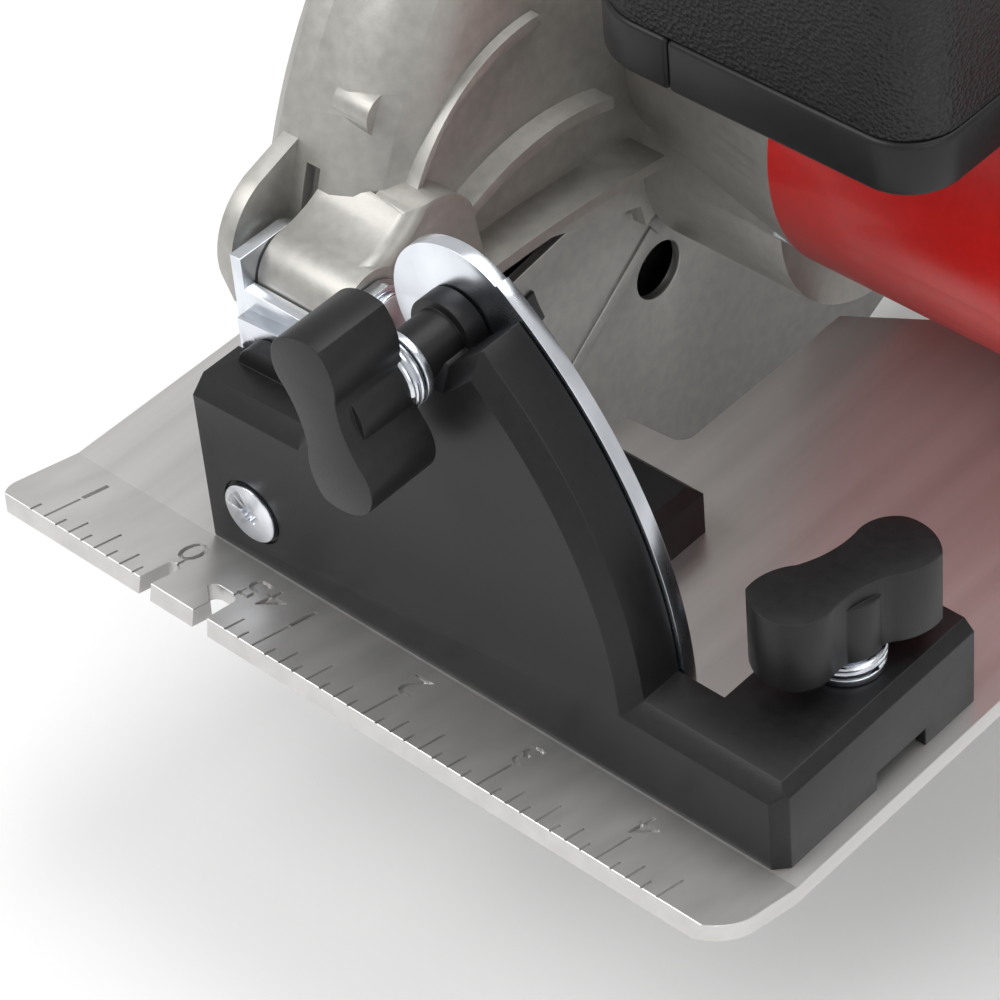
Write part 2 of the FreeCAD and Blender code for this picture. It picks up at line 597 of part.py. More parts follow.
def make_upper_guard():
    """Casting: rim and wall over the blade, knuckle for the depth pin, fins."""
    profile = [(-8.0, GUARD_INNER_R), (-8.0, GUARD_R), (0.5, GUARD_R), (5.0, 99.0), (9.2, 96.3),
               (11.5, 91.0), (11.5, 24.0), (8.5, 24.0), (8.5, 92.0), (6.8, 95.2), (4.5, 96.6),
               (0.5, GUARD_INNER_R)]
    shell = turned_x(profile, -25, 205).common(plate_x(wall_lower_edge(), -20, 20))
    barrel = cyl_x(KNUCKLE_Y, KNUCKLE_Z, KNUCKLE_R, KNUCKLE_LEFT, KNUCKLE_RIGHT)
    neck = plate_x([(KNUCKLE_Y, 56.0), ((-1.0, 57.5), (4.0, 60.5)), ((12.0, 60.5), (18.0, 55.0)),
                    (20.0, 42.0), ((6.0, 40.5), (KNUCKLE_Y, 41.2))], KNUCKLE_LEFT, KNUCKLE_RIGHT)
    neck = softened(neck, 3.0, lambda e: e.BoundBox.XMin > KNUCKLE_RIGHT - 0.01
                    and e.BoundBox.YMin > KNUCKLE_Y - 0.01 and e.BoundBox.ZMin > 55.0)
    room = cyl_x(SPINDLE_Y, SPINDLE_Z, GUARD_INNER_R, -20, 8.5)
    peg = cyl_x(11.0, 72.6, 4.0, -2.0, 6.0)
    parts = [shell, barrel, neck.cut(room), peg.cut(room)]
    for start, middle, end, foot, crest in FINS:
        parts.append(guard_fin(start, middle, end, 2.4, foot, crest).cut(room))
    parts.append(cyl_x(BOLT_Y, BOLT_Z, 8.0, 8.5, ARM_LEFT - GAP))
    parts.append(box(8.5, 11.5, 128.0, BOLT_Y, BOLT_Z - 6, 45.0))
    body = union(parts)
    body = body.cut(cyl_x(KNUCKLE_Y, KNUCKLE_Z, DEPTH_PIN_R + RUN, -20, 40))
    body = body.cut(cyl_x(SPINDLE_Y, SPINDLE_Z, 30.0, GEARCASE_LEFT, 30))
    body = body.cut(cyl_x(MOTOR_Y, MOTOR_Z, 34.6, GEARCASE_LEFT, 30))
    body = body.cut(cyl_x(KNUCKLE_Y, KNUCKLE_Z, 16.8, EAR_LEFT - GAP, KNUCKLE_LEFT - 0.01))
    body = body.cut(cyl_x(BOLT_Y, BOLT_Z, 5.6, 8.0, 10.1))
    body = body.cut(cyl_x(BOLT_Y, BOLT_Z, CLAMP_SCREW_R + RUN, 0, 20))
    for y, z in cover_screw_spots():
        body = body.fuse(cyl_x(y, z, 3.8, -8.0, -2.0).cut(room)).cut(cyl_x(y, z, 1.55, -9, -2.5))
    return body.removeSplitter()


def cover_screw_spots():
    return [polar(SPINDLE_Y, SPINDLE_Z, GUARD_R + 2.4, angle) for angle in (9, 62, 112)]


def make_guard_cover():
    """Outer half of the upper guard, with screw bosses and the lip over the left ear."""
    profile = [(-8.0, GUARD_INNER_R), (-8.0, GUARD_R), (-12.6, GUARD_R), (-14.8, 98.6), (-15.5, 96.0),
               (-15.5, 32.0), (-13.8, 32.0), (-13.8, 94.0), (-12.0, GUARD_INNER_R)]
    shell = turned_x(profile, 2, 178)
    parts = [shell]
    for y, z in cover_screw_spots():
        parts.append(cyl_x(y, z, 3.8, -14.0, -8.0).cut(cyl_x(SPINDLE_Y, SPINDLE_Z, 97.5, -20, 0)))
    lip = plate_x([(-12.0, 38.6), (-14.0, 46.0), ((-12.5, 56.0), (-6.0, 62.0)), (6.0, 66.0),
                   (12.0, 58.0), (8.0, 48.0), (10.0, 38.6)], -11.5, -8.0)
    room = cyl_x(SPINDLE_Y, SPINDLE_Z, GUARD_INNER_R, -20, 0)
    body = union(parts + [lip.cut(room)])
    for y, z in cover_screw_spots():
        body = body.cut(cyl_x(y, z, 1.8, -20, 0))
    return body


def make_cover_screws():
    screws = []
    for y, z in cover_screw_spots():
        head = cyl_x(y, z, 3.0, -15.5, -14.0)
        screws.append(union([head, cyl_x(y, z, 1.5, -15.5, -3.0)]))
    return group(screws)


def make_lower_guard():
    """Retracting guard: inner wall that turns on the gearcase nose, rim and outer lip."""
    profile = [(-7.0, 78.0), (-7.0, 92.5), (-5.0, LOWER_GUARD_R), (5.5, LOWER_GUARD_R), (7.5, 92.5),
               (7.5, NOSE_R + RUN), (5.5, NOSE_R + RUN), (5.5, 91.5), (4.0, LOWER_GUARD_INNER_R),
               (-4.0, LOWER_GUARD_INNER_R), (-5.5, 91.5), (-5.5, 78.0)]
    shell = turned_x(profile, 188, 355)
    hub = tube_x(SPINDLE_Y, SPINDLE_Z, NOSE_R + RUN, NOSE_R + 7, 5.5, 8.1)
    rib = plate_x([(47.0, -9.0), (49.0, -11.6), (74.0, 6.5), (72.0, 9.4)], 7.0, 8.1)
    body = union([shell, hub, rib])
    return body.cut(cyl_x(74.0, -2.4, 6.0, 0, 20))


def make_guard_lever():
    """Thumb lever on the motor side of the lower guard."""
    strap = sector_plate(plate_x, SPINDLE_Y, SPINDLE_Z, 58.0, 90.0, 193, 201, 7.5, 8.2)
    pad = sector_plate(plate_x, SPINDLE_Y, SPINDLE_Z, 76.0, 90.0, 195.5, 198.5, 7.5, 12.6)
    return union([strap, pad])


def make_guard_ring():
    """Spring ring that keeps the lower guard on the gearcase nose."""
    return tube_x(SPINDLE_Y, SPINDLE_Z, 15.6, 18.4, 4.8, 5.2)


def make_guard_spring():
    """Return spring wound round the gearcase nose."""
    return tube_x(SPINDLE_Y, SPINDLE_Z, 18.0, 21.4, 8.8, 11.2)


# ---- gear train and blade ----------------------------------------------------------
def gear(y, z, teeth, x0, x1, bore, half_tooth):
    """Straight-tooth gear of the common module, about an axis parallel to X."""
    pitch_r = GEAR_MODULE * teeth / 2
    root_r = pitch_r - 1.2 * GEAR_MODULE
    tip_r = pitch_r + 0.9 * GEAR_MODULE
    step = 360 / teeth
    body = cyl_x(y, z, root_r, x0, x1)
    teeth_list = []
    for index in range(teeth):
        angle = (index + (0.5 if half_tooth else 0.0)) * step + 90
        points = [polar(y, z, root_r - 0.3, angle - 0.24 * step),
                  polar(y, z, pitch_r, angle - 0.20 * step), polar(y, z, tip_r, angle - 0.09 * step),
                  polar(y, z, tip_r, angle + 0.09 * step), polar(y, z, pitch_r, angle + 0.20 * step),
                  polar(y, z, root_r - 0.3, angle + 0.24 * step)]
        teeth_list.append(plate_x(points, x0, x1))
    body = body.multiFuse(teeth_list)
    return body.cut(cyl_x(y, z, bore, x0 - 1, x1 + 1))


def make_blade():
    """Disc with hooked tip seats, gullets between them."""
    root_r = BLADE_R - 8.0
    step = 360 / TOOTH_COUNT
    points = []
    for index in range(TOOTH_COUNT):
        angle = -index * step
        points.append(polar(SPINDLE_Y, SPINDLE_Z, root_r, angle))
        points.append(polar(SPINDLE_Y, SPINDLE_Z, BLADE_R, angle + 0.10 * step))
        points.append(polar(SPINDLE_Y, SPINDLE_Z, BLADE_R - 1.4, angle - 0.30 * step))
        points.append(polar(SPINDLE_Y, SPINDLE_Z, BLADE_R - 6.0, angle - 0.62 * step))
    disc = plate_x(points, -BLADE_HALF, BLADE_HALF)
    return disc.cut(cyl_x(SPINDLE_Y, SPINDLE_Z, ARBOR_R, -2, 2))


def make_inner_flange():
    return tube_x(SPINDLE_Y, SPINDLE_Z, ARBOR_R + RUN, 13.5, BLADE_HALF, 4.0)


def make_outer_flange():
    return tube_x(SPINDLE_Y, SPINDLE_Z, 4.1, 13.5, -BLADE_HALF - 3.6, -BLADE_HALF)


def make_blade_bolt():
    start = -BLADE_HALF - 3.6
    corners = [polar(SPINDLE_Y, SPINDLE_Z, 7.4, 60 * i) for i in range(6)]
    head = plate_x(corners, start - 6.0, start)
    washer = cyl_x(SPINDLE_Y, SPINDLE_Z, 9.5, start - 1.5, start)
    shank = cyl_x(SPINDLE_Y, SPINDLE_Z, 4.0, start, 14.0)
    return union([head, washer, shank])


def make_spindle():
    seat = cyl_x(SPINDLE_Y, SPINDLE_Z, ARBOR_R - RUN, -BLADE_HALF, 20.0)
    tail = cyl_x(SPINDLE_Y, SPINDLE_Z, 6.0, 20.0, 40.5)
    return union([seat, tail]).cut(cyl_x(SPINDLE_Y, SPINDLE_Z, 4.05, -5, 14.5))


def make_drive_gear():
    return gear(SPINDLE_Y, SPINDLE_Z, GEAR_TEETH, 22.0, 32.0, 6.0 + RUN, True)


def make_spindle_bearings():
    large = tube_x(SPINDLE_Y, SPINDLE_Z, ARBOR_R, 14.5, 12.0, 19.5)
    small = tube_x(SPINDLE_Y, SPINDLE_Z, 6.0 + RUN, 11.0, 34.5, 40.0)
    return group([large, small])


def gearcase_solid():
    nose = cyl_x(SPINDLE_Y, SPINDLE_Z, NOSE_R, 4.4, 13.0)
    spindle_chamber = cyl_x(SPINDLE_Y, SPINDLE_Z, 30.0, GEARCASE_LEFT, 43.5)
    motor_chamber = Part.makeCone(33.0, MOTOR_R, SPLIT_X - GEARCASE_LEFT,
                                  vec(GEARCASE_LEFT, MOTOR_Y, MOTOR_Z), vec(1, 0, 0))
    return union([nose, spindle_chamber, motor_chamber])


def gearcase_hollow():
    gear_room = cyl_x(SPINDLE_Y, SPINDLE_Z, 21.4, 20.5, 34.0)
    rear_seat = cyl_x(SPINDLE_Y, SPINDLE_Z, 11.0, 33.0, 41.0)
    front_seat = cyl_x(SPINDLE_Y, SPINDLE_Z, 14.5, 12.0, 21.0)
    nose_bore = cyl_x(SPINDLE_Y, SPINDLE_Z, ARBOR_R + 1.0, 4.0, 13.0)
    pinion_room = cyl_x(MOTOR_Y, MOTOR_Z, 9.0, 14.0, 36.0)
    motor_room = cyl_x(MOTOR_Y, MOTOR_Z, 36.0, 44.0, SPLIT_X + 1)
    shaft_room = cyl_x(MOTOR_Y, MOTOR_Z, 11.0, 30.0, 45.0)
    return union([gear_room, rear_seat, front_seat, nose_bore, pinion_room, motor_room, shaft_room])


def make_gearcase():
    body = gearcase_solid()
    groove = tube_x(SPINDLE_Y, SPINDLE_Z, 15.6, 20.0, 4.75, 5.25)
    body = body.cut(gearcase_hollow()).cut(groove)
    for y, z in gearcase_screw_spots():
        body = body.cut(cyl_x(y, z, 1.25, 44.0, SPLIT_X + 1))
    return body.cut(cyl_y(28.0, SPINDLE_Z, 3.0 + RUN, 118, 140))


def gearcase_screw_spots():
    return [polar(MOTOR_Y, MOTOR_Z, 38.9, angle) for angle in (30, 150, 215, 325)]


def make_gearcase_screws():
    return group([cyl_x(y, z, 1.2, 44.5, 61.0) for y, z in gearcase_screw_spots()])


def make_bearing_plate():
    """Plate between the gearcase and the motor, which holds the front rotor bearing."""
    disc = tube_x(MOTOR_Y, MOTOR_Z, 11.0 + RUN, 36.0, 44.2, 49.5)
    return disc


def make_rotor_bearings():
    front = tube_x(MOTOR_Y, MOTOR_Z, 4.0 + RUN, 11.0, 43.5, 49.0)
    rear = tube_x(MOTOR_Y, MOTOR_Z, 4.0 + RUN, 9.0, 121.0, 127.0)
    return group([front, rear])


def make_rotor_shaft():
    return union([cyl_x(MOTOR_Y, MOTOR_Z, 4.0, 37.0, 128.0), cyl_x(MOTOR_Y, MOTOR_Z, 2.4, 15.5, 37.0)])


def make_pinion():
    return gear(MOTOR_Y, MOTOR_Z, PINION_TEETH, 17.0, 33.5, 2.4 + RUN, True)


def make_rotor_core():
    return tube_x(MOTOR_Y, MOTOR_Z, 4.0 + RUN, 22.0, 66.0, 104.0)


def make_fan():
    """Cooling fan: hub disc with twelve straight vanes."""
    disc = tube_x(MOTOR_Y, MOTOR_Z, 4.0 + RUN, 33.0, 108.0, 109.5)
    vanes = []
    for index in range(12):
        vane = box(109.0, 115.0, MOTOR_Y + 16, MOTOR_Y + 33, MOTOR_Z - 0.7, MOTOR_Z + 0.7)
        vane.rotate(vec(0, MOTOR_Y, MOTOR_Z), vec(1, 0, 0), 30 * index)
        vanes.append(vane)
    return union([disc] + vanes)


def make_stator():
    return tube_x(MOTOR_Y, MOTOR_Z, 22.6, 36.5, 64.0, 106.0)


# ---- motor housing ------------------------------------------------------------------
def make_motor_housing():
    shell = tube_x(MOTOR_Y, MOTOR_Z, MOTOR_R - 3, MOTOR_R, SPLIT_X, MOTOR_END)
    body = shell.fuse(tube_x(MOTOR_Y, MOTOR_Z, 36.5, MOTOR_R - 2, 63.0, 107.0))
    for angle in (138, 150, 195, 207):
        body = body.cut(sector_plate(plate_x, MOTOR_Y, MOTOR_Z, 35.0, 46.0, angle, angle + 5, 109.0, 117.0))
    for y, z in gearcase_screw_spots():
        body = body.cut(cyl_x(y, z, 1.25, SPLIT_X - 1, 61.5))
    return body.removeSplitter()


def make_motor_cap():
    """End cap of the motor, with its rear bearing seat and air slots."""
    length = CAP_END - MOTOR_END
    outer = Part.makeCone(MOTOR_R, 33.0, length, vec(MOTOR_END, MOTOR_Y, MOTOR_Z), vec(1, 0, 0))
    inner = Part.makeCone(MOTOR_R - 3, 30.6, length - 3, vec(MOTOR_END, MOTOR_Y, MOTOR_Z), vec(1, 0, 0))
    body = outer.cut(inner).fuse(tube_x(MOTOR_Y, MOTOR_Z, 9.0 + RUN, 12.0, 120.5, 148.0))
    for y, z in cap_screw_spots():
        body = body.fuse(cyl_x(y, z, 4.0, MOTOR_END, 148.0))
    for angle in (5, 65, 95, 155, 185, 245, 275, 335):
        body = body.cut(sector_plate(plate_x, MOTOR_Y, MOTOR_Z, 15.0, 25.0, angle, angle + 18, 140.0, 152.0))
    for y, z in cap_screw_spots():
        body = body.cut(cyl_x(y, z, 1.85, 118, 152))
    return body.removeSplitter()


def cap_screw_spots():
    return [polar(MOTOR_Y, MOTOR_Z, 27.0, angle) for angle in (45, 135, 225, 315)]


def make_cap_screws():
    screws = []
    for y, z in cap_screw_spots():
        screws.append(cyl_x(y, z, 1.8, 120.5, CAP_END - 0.2))
    return group(screws)


# ---- front grip -----------------------------------------------------------------------
def grip_block(z0, z1, inset):
    """Block with rounded upright corners at the front, the left one larger."""
    left = GRIP_LEFT + inset
    right = GRIP_RIGHT - inset
    front = GRIP_FRONT + inset
    big = 14.0
    small = 10.0
    bite = 1 - math.sqrt(0.5)
    points = [(left, front + big), ((left + big * bite, front + big * bite), (left + big, front)),
              (right - small, front),
              ((right - small * bite, front + small * bite), (right, front + small)),
              (right, GRIP_BACK), (left, GRIP_BACK)]
    return plate_z(points, z0, z1)


def motor_clearance():
    return cyl_x(MOTOR_Y, MOTOR_Z, MOTOR_R, 30, 140)


def grip_half(x0, x1):
    """Smooth band of the front grip between two planes, hollow above its floor."""
    band = grip_block(GRIP_BOTTOM, GRIP_SEAM, 0).cut(grip_block(GRIP_BOTTOM + 3, GRIP_SEAM + 1, 3))
    stalk = box(x0, x1, GRIP_BACK - 12, GRIP_BACK, MOTOR_Z + 30, GRIP_BOTTOM + 1).cut(motor_clearance())
    return union([band, stalk]).common(box(x0, x1, -50, 200, 0, 200))


def make_front_grip_left():
    return grip_half(GRIP_LEFT, GRIP_SPLIT)


def make_front_grip_right():
    return grip_half(GRIP_SPLIT, GRIP_RIGHT)


def make_front_grip_cover():
    """Rubber-covered palm of the front grip, with the well of its side screw."""
    block = grip_block(GRIP_SEAM, GRIP_TOP, 0.5)
    block = softened(block, 6.0, lambda e: e.BoundBox.ZMin > GRIP_TOP - 0.01
                     and e.BoundBox.YMin < GRIP_BACK - 1)
    hollow = grip_block(GRIP_SEAM - 1, GRIP_TOP - 10, 5)
    return block.cut(hollow).cut(cyl_x(62.0, 116.0, 4.5, GRIP_RIGHT - 4.0, GRIP_RIGHT + 2))


def make_grip_screw():
    return cyl_x(62.0, 116.0, 4.0, GRIP_RIGHT - 4.0, GRIP_RIGHT - 1.8)


# ---- main handle ------------------------------------------------------------------------
def handle_outline():
    return [(92.0, 90.0), (92.0, 134.0), ((99.0, 146.0), (114.0, 152.0)), ((160.0, 166.0), (206.0, 158.0)),
            ((243.0, 141.0), (262.0, 108.0)), (266.0, 92.0), (266.0, 80.0), (146.0, 80.0), (140.0, 92.0)]


def finger_opening():
    return [(132.0, 108.0), ((134.0, 121.0), (148.0, 128.0)), ((184.0, 136.0), (210.0, 128.0)),
            ((230.0, 117.0), (238.0, 102.0)), (234.0, 96.0), (140.0, 98.0)]


def handle_blank(x0, x1):
    body = plate_x(handle_outline(), x0, x1)
    body = body.cut(plate_x(finger_opening(), x0 - 1, x1 + 1))
    return body.cut(motor_clearance())


def handle_insides():
    """Room for the trigger, its switch and the control board."""
    trigger_way = box(HANDLE_X - 9.4, HANDLE_X + 9.4, 149.5, 184.5, 120.0, 146.0)
    switch_room = box(HANDLE_X - 10.0, HANDLE_X + 10.0, 148.0, 186.0, 144.0, 157.0)
    board_room = box(HANDLE_X - 14.0, HANDLE_X + 14.0, 156.0, 230.0, 83.0, 93.0)
    lock_way = cyl_x(138.0, 136.0, 5.0 + RUN, 30.0, 80.0)
    return union([trigger_way, switch_room, board_room, lock_way])


def handle_screw_spots():
    return [(104.0, 132.0), (126.0, 100.0), (196.0, 148.0), (252.0, 100.0), (150.0, 86.0)]


def make_handle_left():
    body = handle_blank(HANDLE_X - HANDLE_HALF, HANDLE_X)
    return cut_handle_screws(body.cut(handle_insides()))


def make_handle_right():
    body = handle_blank(HANDLE_X, HANDLE_X + HANDLE_HALF)
    return cut_handle_screws(body.cut(handle_insides()))


def cut_handle_screws(body):
    for y, z in handle_screw_spots():
        body = body.cut(cyl_x(y, z, 1.6, 30, 80))
        body = body.cut(cyl_x(y, z, 3.4, HANDLE_X + HANDLE_HALF - 3, HANDLE_X + HANDLE_HALF + 1))
    return body


def make_handle_screws():
    screws = []
    for y, z in handle_screw_spots():
        head = cyl_x(y, z, 3.2, HANDLE_X + HANDLE_HALF - 3, HANDLE_X + HANDLE_HALF - 1.2)
        screws.append(union([head, cyl_x(y, z, 1.5, HANDLE_X - 12, HANDLE_X + HANDLE_HALF - 2)]))
    return group(screws)


def make_trigger():
    body = plate_x([(151.0, 138.5), (151.0, 126.0), ((166.0, 121.5), (182.5, 127.0)), (182.5, 138.5)],
                   HANDLE_X - 9.0, HANDLE_X + 9.0)
    return body


def make_switch():
    return box(HANDLE_X - 9.0, HANDLE_X + 9.0, 151.0, 183.0, 144.6, 156.0)


def make_lock_off():
    """Cross bolt that frees the trigger, pushed from the left."""
    shaft = cyl_x(138.0, 136.0, 5.0, HANDLE_X - HANDLE_HALF - 4.0, HANDLE_X + HANDLE_HALF - 0.5)
    return shaft


def make_control_board():
    return box(HANDLE_X - 13.0, HANDLE_X + 13.0, 158.0, 228.0, 84.0, 86.0)


def make_battery_mount():
    """Rail block under the handle that the battery slides onto."""
    block = box(BATTERY_LEFT + 2, BATTERY_RIGHT - 2, 150.0, 262.0, BATTERY_TOP + GAP, 80.0)
    body = block.cut(box(HANDLE_X - 26, HANDLE_X + 26, 156.0, 263.0, BATTERY_TOP, 75.0))
    for side in (-1, 1):
        x0, x1 = sorted((HANDLE_X + side * 22.3, HANDLE_X + side * 26.0))
        body = body.fuse(box(x0, x1, 160.0, 262.0, BATTERY_TOP + GAP, 71.0))
    return body.removeSplitter()


def make_battery_case():
    """Battery shell with the T-shaped tongue that slides in the rail block."""
    case = box(BATTERY_LEFT, BATTERY_RIGHT, BATTERY_FRONT, BATTERY_BACK, BATTERY_BOTTOM, BATTERY_TOP)
    case = softened(case, 6.0, lambda e: along(e, "z") or e.BoundBox.ZMax < BATTERY_BOTTOM + 0.01)
    neck = box(HANDLE_X - 22, HANDLE_X + 22, 165.0, BATTERY_BACK - 5, BATTERY_TOP - 1, 74.7)
    flange = box(HANDLE_X - 25.6, HANDLE_X + 25.6, 165.0, BATTERY_BACK - 5, 71.4, 74.7)
    body = union([case, neck, flange])
    body = body.cut(box(BATTERY_LEFT + 3, BATTERY_RIGHT - 3, BATTERY_FRONT + 3, BATTERY_BACK - 3,
                        BATTERY_BOTTOM + 3, BATTERY_TOP - 4))
    for side in (-1, 1):
        body = body.cut(latch_box(side, 3.5, LATCH_HALF + GAP, 8.0))
    return body


LATCH_Y = 244.0
LATCH_Z = 50.0


LATCH_HALF = 13.6


def latch_box(side, depth, half, tall):
    """Block in the side of the battery, side -1 left and +1 right."""
    face = HANDLE_X + side * (BATTERY_RIGHT - BATTERY_LEFT) / 2
    x0, x1 = sorted((face + side * 0.8, face - side * depth))
    return box(x0, x1, LATCH_Y - half, LATCH_Y + half, LATCH_Z - tall, LATCH_Z + tall)


def make_latch_left():
    return latch_box(-1, 1.4, LATCH_HALF, 7.6)


def make_latch_right():
    return latch_box(1, 1.4, LATCH_HALF, 7.6)


def make_battery_cells():
    """Ten cells in two layers, lying across the battery."""
    cells = []
    for row in range(5):
        for z in (23.0, 47.0):
            cells.append(cyl_x(162.0 + 21.5 * row, z, 9.5, HANDLE_X - 27.0, HANDLE_X + 27.0))
    return group(cells)


def make_depth_bolt():
    head = cyl_x(BOLT_Y, BOLT_Z, 5.5, 8.5, 10.0)
    return union([head, cyl_x(BOLT_Y, BOLT_Z, CLAMP_SCREW_R, 8.5, 21.6)])


def make_depth_lever():
    """Cam lever that clamps the saw to the depth arm."""
    hub = cyl_x(BOLT_Y, BOLT_Z, 8.5, ARM_RIGHT + 1.8, 21.5)
    blade = plate_x([(0.0, -6.0), (38.0, -5.0), ((43.0, 0.0), (38.0, 5.0)), (0.0, 6.0)], 18.2, 21.5)
    blade.rotate(vec(0, 0, 0), vec(1, 0, 0), 60)
    blade.translate(vec(0, BOLT_Y, BOLT_Z))
    return union([hub, blade]).cut(cyl_x(BOLT_Y, BOLT_Z, CLAMP_SCREW_R + RUN, 10, 30))


def make_spindle_lock():
    """Push pin at the back of the gearcase that stops the spindle."""
    stem = cyl_y(28.0, SPINDLE_Z, 3.0, 125.2, 140.0)
    cap = cyl_y(28.0, SPINDLE_Z, 6.0, 133.0, 142.0)
    return union([stem, cap])


DUST_SHOULDER = 197.5             # end of the thick part of the dust outlet
DUST_END = 209.5


def make_dust_port():
    """Chip outlet at the back of the guard, with a shoulder for a hose cuff."""
    y, z = polar(SPINDLE_Y, SPINDLE_Z, GUARD_R, 28)
    pipe = cyl_y(-3.0, z, 14.0, y - 6, DUST_SHOULDER)
    spigot = cyl_y(-3.0, z, 12.0, DUST_SHOULDER - 1, DUST_END)
    flange = box(-9.6, 4.5, y - 4, y + 5, z - 13.0, z + 10)
    body = union([pipe, spigot, flange]).cut(cyl_y(-3.0, z, 9.8, y - 20, DUST_END + 1))
    return body.cut(cyl_x(SPINDLE_Y, SPINDLE_Z, GUARD_R, -20, 20))


def nodes():
    return {
        "shoe": make_shoe(),
        "shoe_rivets": make_shoe_rivets(),
        "front_bracket": make_front_bracket(),
        "fence_guide": make_fence_guide(),
        "rear_bracket": make_rear_bracket(),
        "bevel_pivot_pins": group([make_front_pivot_pin(), make_rear_pivot_pin()]),
        "clamp_washers": group([make_bevel_washer(), make_fence_washer()]),
        "bevel_knob": make_bevel_knob(),
        "bevel_screw": make_bevel_screw(),
        "bevel_nut": make_bevel_nut(),
        "fence_knob": make_fence_knob(),
        "fence_screw": make_fence_screw(),
        "bevel_quadrant": make_bevel_quadrant(),
        "knuckle_bracket": make_knuckle_bracket(),
        "sheet_rivets": make_sheet_rivets(),
        "depth_pin": make_depth_pin(),
        "depth_arm": make_depth_arm(),
        "upper_guard": make_upper_guard(),
        "guard_cover": make_guard_cover(),
        "cover_screws": make_cover_screws(),
        "lower_guard": make_lower_guard(),
        "guard_lever": make_guard_lever(),
        "guard_ring": make_guard_ring(),
        "guard_spring": make_guard_spring(),
        "blade": make_blade(),
        "inner_flange": make_inner_flange(),
        "outer_flange": make_outer_flange(),
        "blade_bolt": make_blade_bolt(),
        "spindle": make_spindle(),
        "drive_gear": make_drive_gear(),
        "gearcase": make_gearcase(),
        "motor_screws": group([make_gearcase_screws(), make_cap_screws()]),
        "bearings": group([make_spindle_bearings(), make_rotor_bearings()]),
        "bearing_plate": make_bearing_plate(),
        "rotor_shaft": make_rotor_shaft(),
        "pinion": make_pinion(),
        "rotor_core": make_rotor_core(),
        "fan": make_fan(),
        "stator": make_stator(),
        "motor_housing": make_motor_housing(),
        "motor_cap": make_motor_cap(),
        "front_grip_left": make_front_grip_left(),
        "front_grip_right": make_front_grip_right(),
        "front_grip_cover": make_front_grip_cover(),
        "handle_left": make_handle_left(),
        "handle_right": make_handle_right(),
        "handle_screws": group([make_handle_screws(), make_grip_screw()]),
        "trigger": make_trigger(),
        "switch": make_switch(),
        "lock_off": make_lock_off(),
        "control_board": make_control_board(),
        "battery_mount": make_battery_mount(),
        "battery_case": make_battery_case(),
        "battery_cells": make_battery_cells(),
        "latch_left": make_latch_left(),
        "latch_right": make_latch_right(),
        "depth_bolt": make_depth_bolt(),
        "depth_lever": make_depth_lever(),
        "spindle_lock": make_spindle_lock(),
        "dust_port": make_dust_port(),
    }


def main():
    os.makedirs("parts", exist_ok=True)
    for name, shape in nodes().items():
        shape.exportStep("parts/" + name + ".step")
        print(name, len(shape.Solids), round(shape.Volume), shape.isValid())


main()
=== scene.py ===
import bmesh
import bpy
import json
import math
from mathutils import Matrix, Vector


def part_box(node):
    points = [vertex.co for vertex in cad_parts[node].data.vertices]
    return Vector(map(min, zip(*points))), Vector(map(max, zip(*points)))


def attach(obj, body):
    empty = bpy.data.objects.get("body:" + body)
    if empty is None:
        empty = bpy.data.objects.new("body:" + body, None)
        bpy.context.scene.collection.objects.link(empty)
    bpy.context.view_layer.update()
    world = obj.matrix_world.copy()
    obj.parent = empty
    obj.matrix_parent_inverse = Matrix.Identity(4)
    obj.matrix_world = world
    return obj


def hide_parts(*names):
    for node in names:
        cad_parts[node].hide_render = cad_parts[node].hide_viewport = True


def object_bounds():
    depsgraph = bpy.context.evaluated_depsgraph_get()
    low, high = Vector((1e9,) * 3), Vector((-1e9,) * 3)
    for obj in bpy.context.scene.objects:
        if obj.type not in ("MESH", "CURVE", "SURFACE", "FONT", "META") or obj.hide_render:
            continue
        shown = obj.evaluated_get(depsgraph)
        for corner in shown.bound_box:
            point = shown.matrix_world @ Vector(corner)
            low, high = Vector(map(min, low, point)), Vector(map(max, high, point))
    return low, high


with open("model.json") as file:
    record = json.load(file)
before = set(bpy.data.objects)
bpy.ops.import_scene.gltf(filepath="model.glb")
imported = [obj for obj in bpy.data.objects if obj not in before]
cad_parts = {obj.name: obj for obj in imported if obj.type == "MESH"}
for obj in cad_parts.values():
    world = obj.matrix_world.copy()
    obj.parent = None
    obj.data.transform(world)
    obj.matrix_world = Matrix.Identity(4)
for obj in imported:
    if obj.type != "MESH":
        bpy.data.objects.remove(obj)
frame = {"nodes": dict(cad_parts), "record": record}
CAD_BOX = [list(map(float, corner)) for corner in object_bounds()]
BODY_OF = {n: b for b, nodes in frame["record"]["behaviour"]["bodies"].items() for n in nodes}
SLOT_OF = {part["node"]: part["material_slot"] for part in frame["record"]["subparts"]}
MM = 0.001
SMOOTH_DEGREES = 34               # shading stays sharp across edges steeper than this


